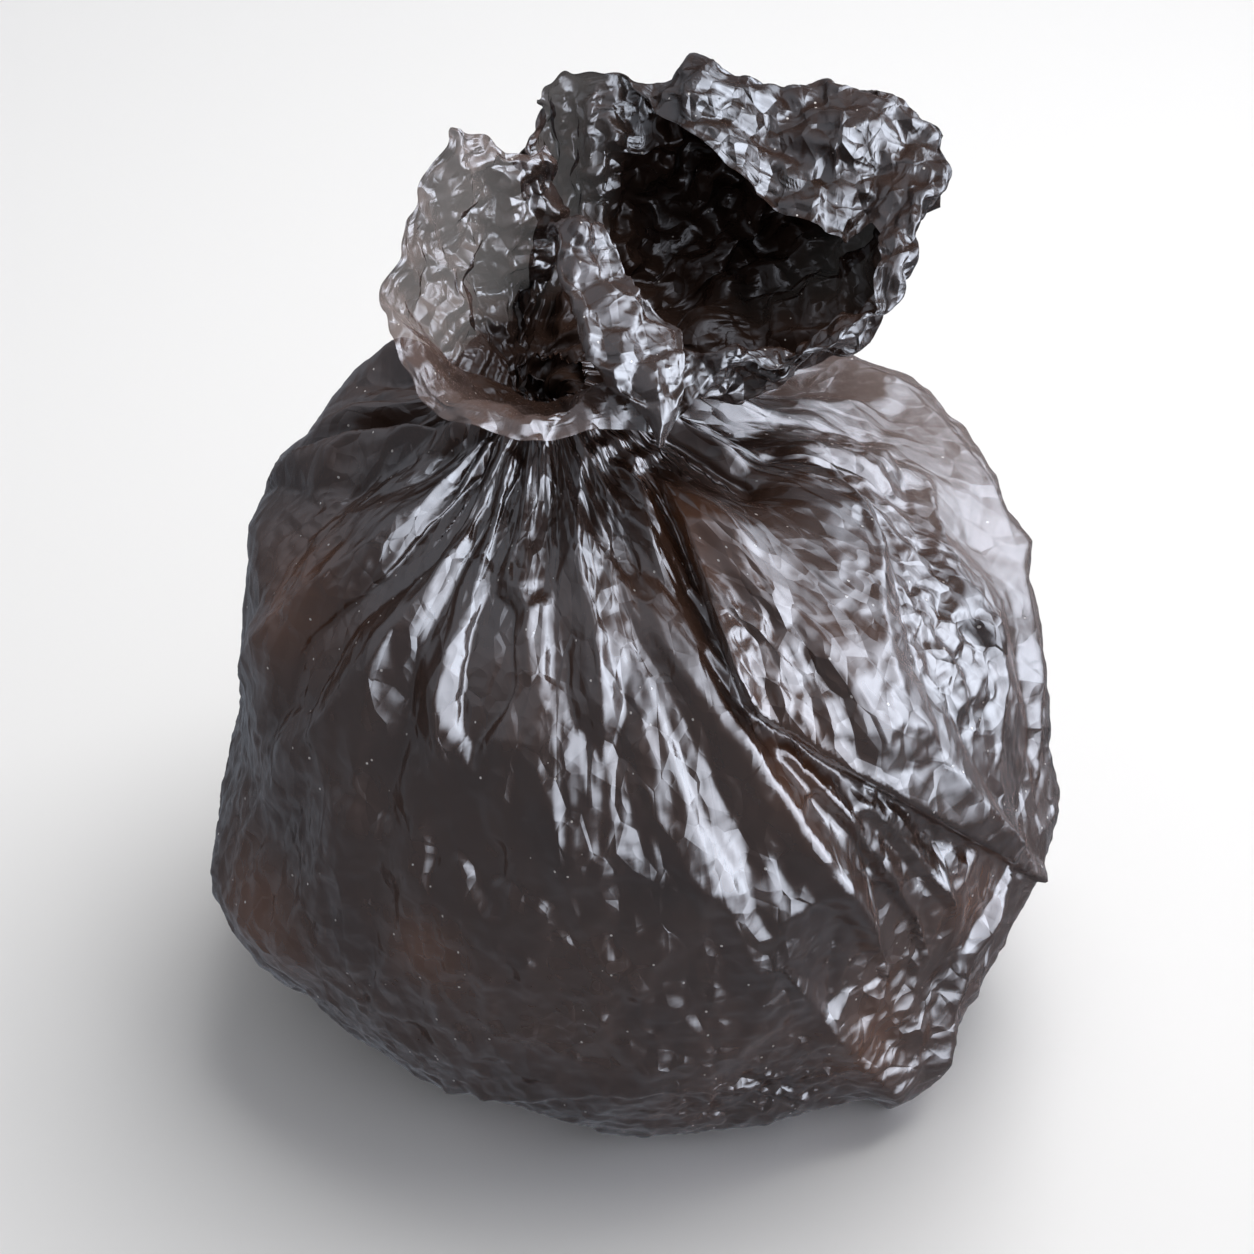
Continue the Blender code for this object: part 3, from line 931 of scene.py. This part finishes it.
def make_room():
    plane = bmesh.new()
    bmesh.ops.create_grid(plane, x_segments=1, y_segments=1, size=6)
    mesh = bpy.data.meshes.new("floor")
    plane.to_mesh(mesh)
    plane.free()
    floor = add_object("floor", mesh)
    floor.location.z = -0.0005
    paint, shader = new_material("floor")
    shader.inputs["Base Color"].default_value = (0.72, 0.72, 0.72, 1)
    shader.inputs["Roughness"].default_value = 0.9
    mesh.materials.append(paint)
    floor.visible_glossy = False
    lamp = bpy.data.lights.new("softbox", "AREA")
    lamp.shape = "RECTANGLE"
    lamp.size = 1.4
    lamp.size_y = 1.2
    lamp.energy = 34
    lamp.color = (1.0, 0.99, 0.98)
    softbox = add_object("softbox", lamp)
    softbox.location = (0.45, 0.40, 1.65)
    softbox.rotation_euler = (Vector((0, 0, 0.15)) - softbox.location).to_track_quat("-Z", "Y").to_euler()
    softbox.visible_glossy = False
    make_glow()


# What gloss sees of the room, each a soft glow: the way towards it, how near that way it starts (as a
# cosine), and how bright it is
GLOWS = [
    ((0.72, -0.64, 0.25), 0.62, 9.5), ((0.95, -0.10, 0.28), 0.76, 7.0), ((0.85, 0.45, 0.26), 0.74, 4.0),
    ((0.15, -0.45, 0.88), 0.89, 3.2), ((-0.6, -0.1, 0.8), 0.45, 0.7),
]


def make_glow():
    """A plain studio: even light for the floor, and for gloss a soft glow low on the right, a small one
    above and a faint one on the left."""
    world = bpy.data.worlds.new("room")
    world.use_nodes = True
    tree = world.node_tree
    background = tree.nodes["Background"]
    way = tree.nodes.new("ShaderNodeTexCoord").outputs["Generated"]
    total = None
    for towards, start, peak in GLOWS:
        facing = tree.nodes.new("ShaderNodeVectorMath")
        facing.operation = "DOT_PRODUCT"
        tree.links.new(way, facing.inputs[0])
        facing.inputs[1].default_value = Vector(towards).normalized()
        glow = tree.nodes.new("ShaderNodeMapRange")
        glow.interpolation_type = "SMOOTHSTEP"
        glow.inputs["From Min"].default_value = start
        glow.inputs["To Max"].default_value = peak
        tree.links.new(facing.outputs["Value"], glow.inputs["Value"])
        one = glow.outputs["Result"]
        total = one if total is None else math_node(tree, "ADD", total, one)
    glossy = tree.nodes.new("ShaderNodeLightPath").outputs["Is Glossy Ray"]
    tree.links.new(mix_node(tree, (0.98, 0.98, 1.0, 1), (0.78, 0.86, 1.0, 1), glossy), background.inputs["Color"])
    gloss_only = math_node(tree, "MULTIPLY", math_node(tree, "SUBTRACT", total, 0.12), glossy)
    tree.links.new(math_node(tree, "ADD", gloss_only, 0.44), background.inputs["Strength"])
    world.cycles.sampling_method = "NONE"
    bpy.context.scene.world = world


# ---------------------------------------------------------------- the pieces
points, share, angle, surface, normal = settle_body()
body = tube_mesh("bag_body", points, True)
creases = crinkle_group()
# Light comes through the film where it stands clear of the rubbish, on the bag's right half: the film is see-through
# there, and a lighter brown is painted in for the light
thin = np.clip((loose_gap(angle, share) - 0.008) / 0.020, 0, 1) * (np.cos(angle - 0.4) > 0)
store(body.data, "thin", thin, *share.shape)
store(body.data, "crumpled", crumpled(angle, share), *share.shape)
store(body.data, "warm", warmed(angle, share), *share.shape)
store(body.data, "film_place", film_place(angle, share, 1.15, 0.55), *share.shape)
# For each look: relief in metres, facets to a metre, darkest and lightest colour
body_look = (0.0036, 80, (0.012, 0.008, 0.007, 1), (0.062, 0.031, 0.020, 1))
body_film = film_material(creases, "body_film", 1, *body_look)
lay_film(body, body_film, film_material(creases, "body_film_clear", 0.78, *body_look), thin)
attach(body, "root")
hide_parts("bin_bag")

rubbish = tube_mesh("packed_rubbish", make_rubbish(), True)
rubbish.data.materials.append(rubbish_material())
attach(rubbish, "root")

mouth_points, mouth_share, mouth_angle, mouth_normal = settle_mouth()
mouth = tube_mesh("bag_mouth", mouth_points, False)
rows, columns = mouth_share.shape
gathers = ring([gather[2:] for gather in MOUTH_GATHERS], columns)
thin = gathers[:, 1] * smooth_step(mouth_share, 0.25, 0.50)
# Painted shade deep inside the mouth: the gloss is turned down there, and further up its wall where it bulges like a
# bowl
hollow = smooth_step(gathers[:, 2], 0.65, 0.90)
deep_painted_shade = 1 - smooth_step(mouth_share, 0.26 + 0.36 * hollow, 0.46 + 0.26 * hollow)
store(mouth.data, "deep_painted_shade", deep_painted_shade, rows, columns)
thin = np.clip(thin * (0.9 + 0.3 * soft_noise(rows, columns, 6, 16, 33)), 0, 1)
store(mouth.data, "thin", thin, rows, columns)
store(mouth.data, "crumpled", (0.15 + 0.85 * gathers[:, 0]) * (0.2 + 0.8 * smooth_step(mouth_share, 0.2, 0.5))
      * (1 - 0.4 * smooth_step(mouth_share, 0.66, 0.76)) * (1 - 0.7 * deep_painted_shade), rows, columns)
store(mouth.data, "film_place", mouth_points, rows, columns)
# The mouth's film colours are darker than the body's: shade painted in for the deep mouth, and used on the flap too
shaded_mouth_look = (0.0046, 88, (0.005, 0.004, 0.004, 1), (0.036, 0.019, 0.013, 1))
mouth_film = film_material(creases, "mouth_film", 1, *shaded_mouth_look)
lay_film(mouth, mouth_film, film_material(creases, "mouth_film_clear", 0.86, *shaded_mouth_look), thin)
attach(mouth, "root")

flap_points, share, angle = make_flap(150, 72)
flap = tube_mesh("mouth_flap", flap_points, False)
# A little of the painted lit-through brown over the whole flap
store(flap.data, "thin", np.full(share.shape, 0.1), *share.shape)
store(flap.data, "crumpled", np.full(share.shape, 0.2), *share.shape)
store(flap.data, "film_place", flap_points, *share.shape)
flap.data.materials.append(mouth_film)
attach(flap, "root")

knot_points, share, angle = make_knot()
knot = tube_mesh("bag_knot", knot_points, False)
store(knot.data, "thin", np.zeros(share.shape), *share.shape)
store(knot.data, "crumpled", np.full(share.shape, 0.8), *share.shape)
store(knot.data, "film_place", knot_points, *share.shape)
knot.data.materials.append(body_film)
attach(knot, "root")

make_room()
make_camera()
bpy.context.scene.view_settings.view_transform = "Standard"
